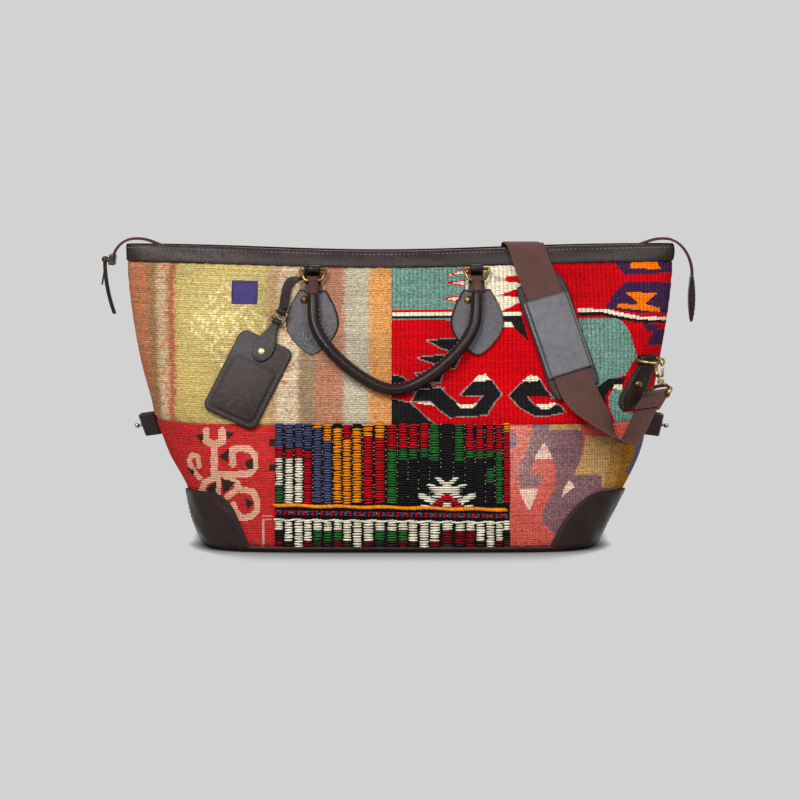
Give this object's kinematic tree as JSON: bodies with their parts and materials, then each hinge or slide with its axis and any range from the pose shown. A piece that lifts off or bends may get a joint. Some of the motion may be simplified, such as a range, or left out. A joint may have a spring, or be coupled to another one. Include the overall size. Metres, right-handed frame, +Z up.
{
  "type": "weekender bag",
  "caption": "Weekender travel bag of patchwork kilim with leather trim, rolled handles, zip mouth, luggage tag and a padded shoulder strap on snap hooks.",
  "frame": {"origin": "centre of the base on the floor", "axes": "+Z up, +X towards the end with the front strap anchor, the front faces -Y"},
  "size_m": [0.5904, 0.2623, 0.2968],
  "materials": {
    "leather_dark": "semi-matte",
    "leather_handle": "semi-matte",
    "brass": "aged satin",
    "webbing": "matte",
    "zip_tape": "matte",
    "lining": "matte",
    "board": "matte",
    "label": "matte",
    "kilim_striped": "woven wool",
    "kilim_red": "woven wool",
    "kilim_rose": "woven wool",
    "kilim_float": "woven wool",
    "kilim_dusk": "woven wool",
    "kilim_rust": "woven wool",
    "kilim_teal": "woven wool",
    "kilim_brick": "woven wool"
  },
  "bodies": {
    "bag": {"base_panel": "leather_dark", "corner_front_left": "leather_dark", "corner_front_right": "leather_dark", "corner_back_left": "leather_dark", "corner_back_right": "leather_dark", "band_front": "leather_dark", "band_back": "leather_dark", "zip_end_tab": "leather_dark", "handle_tab_front_left": "leather_dark", "handle_tab_front_right": "leather_dark", "handle_tab_back_left": "leather_dark", "handle_tab_back_right": "leather_dark", "side_loop_left": "leather_dark", "side_loop_right": "leather_dark", "strap_chape_front": "leather_dark", "strap_chape_back": "leather_dark", "strap_sleeve": "leather_dark", "tag_strap": "leather_handle", "strap_pad": "leather_handle", "side_stud_left": "brass", "side_stud_right": "brass", "strap_webbing": "webbing", "zip_front": "zip_tape", "zip_back": "zip_tape", "lining": "lining", "base_board": "board", "label": "label", "kilim_striped": "kilim_striped", "kilim_red": "kilim_red", "kilim_rose": "kilim_rose", "kilim_float": "kilim_float", "kilim_dusk": "kilim_dusk", "back_kilim_left": "kilim_rust", "back_kilim_right": "kilim_teal", "back_kilim_lower": "kilim_brick"},
    "front_rings": {"front_ring_left": "brass", "front_ring_right": "brass"},
    "front_handle": {"front_handle": "leather_handle"},
    "back_rings": {"back_ring_left": "brass", "back_ring_right": "brass"},
    "back_handle": {"back_handle": "leather_handle"},
    "tag": {"tag_buckle": "brass", "tag_card": "leather_handle", "tag_flap": "leather_handle"},
    "strap_ring_front": {"strap_ring_front": "brass", "snap_hook_front": "brass", "strap_loop_front": "brass", "strap_end_front": "webbing"},
    "strap_ring_back": {"strap_ring_back": "brass", "snap_hook_back": "brass", "strap_loop_back": "brass", "strap_end_back": "webbing"},
    "gate_front": {"hook_gate_front": "brass"},
    "gate_back": {"hook_gate_back": "brass"},
    "slider": {"zip_slider": "brass"},
    "pull": {"zip_pull_ring": "brass", "zip_pull_tab": "brass", "zip_leather_pull": "leather_dark"}
  },
  "joints": [
    {"name": "front_rings_swing", "type": "hinge", "parent": "bag", "child": "front_rings", "pos_m": [-0.00502, -0.03316, 0.26745], "axis": [-1, 0.0004, -0.005], "range_deg": [0, 90]},
    {"name": "front_handle_swing", "type": "hinge", "parent": "front_rings", "child": "front_handle", "pos_m": [-0.00497, -0.03906, 0.257], "axis": [-1, 0.0004, -0.005], "range_deg": [0, 60]},
    {"name": "back_rings_swing", "type": "hinge", "parent": "bag", "child": "back_rings", "pos_m": [-0.00502, 0.03316, 0.26745], "axis": [1, 0.0004, 0.005], "range_deg": [0, 90]},
    {"name": "back_handle_swing", "type": "hinge", "parent": "back_rings", "child": "back_handle", "pos_m": [-0.00497, 0.03906, 0.257], "axis": [1, 0.0004, 0.005], "range_deg": [0, 60]},
    {"name": "tag_lift", "type": "hinge", "parent": "bag", "child": "tag", "pos_m": [-0.11517, -0.05589, 0.22722], "axis": [-0.8981, 0.2107, 0.3861], "range_deg": [0, 70]},
    {"name": "strap_ring_front_swing", "type": "hinge", "parent": "bag", "child": "strap_ring_front", "pos_m": [0.24123, -0.05248, 0.1811], "axis": [-0.8647, -0.5023, -0.0021], "range_deg": [0, 20]},
    {"name": "strap_ring_back_swing", "type": "hinge", "parent": "bag", "child": "strap_ring_back", "pos_m": [-0.24121, 0.05248, 0.18096], "axis": [0.8647, 0.5023, -0.0038], "range_deg": [0, 20]},
    {"name": "hook_gate_front_open", "type": "hinge", "parent": "strap_ring_front", "child": "gate_front", "pos_m": [0.25431, -0.07493, 0.16575], "axis": [-0.8647, -0.5023, -0.0021], "range_deg": [0, 25], "stiffness_Nm_per_rad": 0.01},
    {"name": "hook_gate_back_open", "type": "hinge", "parent": "strap_ring_back", "child": "gate_back", "pos_m": [-0.25431, 0.07491, 0.1656], "axis": [0.8647, 0.5023, -0.0038], "range_deg": [0, 25], "stiffness_Nm_per_rad": 0.01},
    {"name": "zip_slider_travel", "type": "hinge", "parent": "bag", "child": "slider", "pos_m": [-0.262, 0, 0.272], "axis": [0, 1, 0], "range_deg": [0, 36]},
    {"name": "zip_pull_swing", "type": "hinge", "parent": "slider", "child": "pull", "pos_m": [-0.29263, 0, 0.27522], "axis": [0, 1, 0], "range_deg": [-4, 90]}
  ]
}
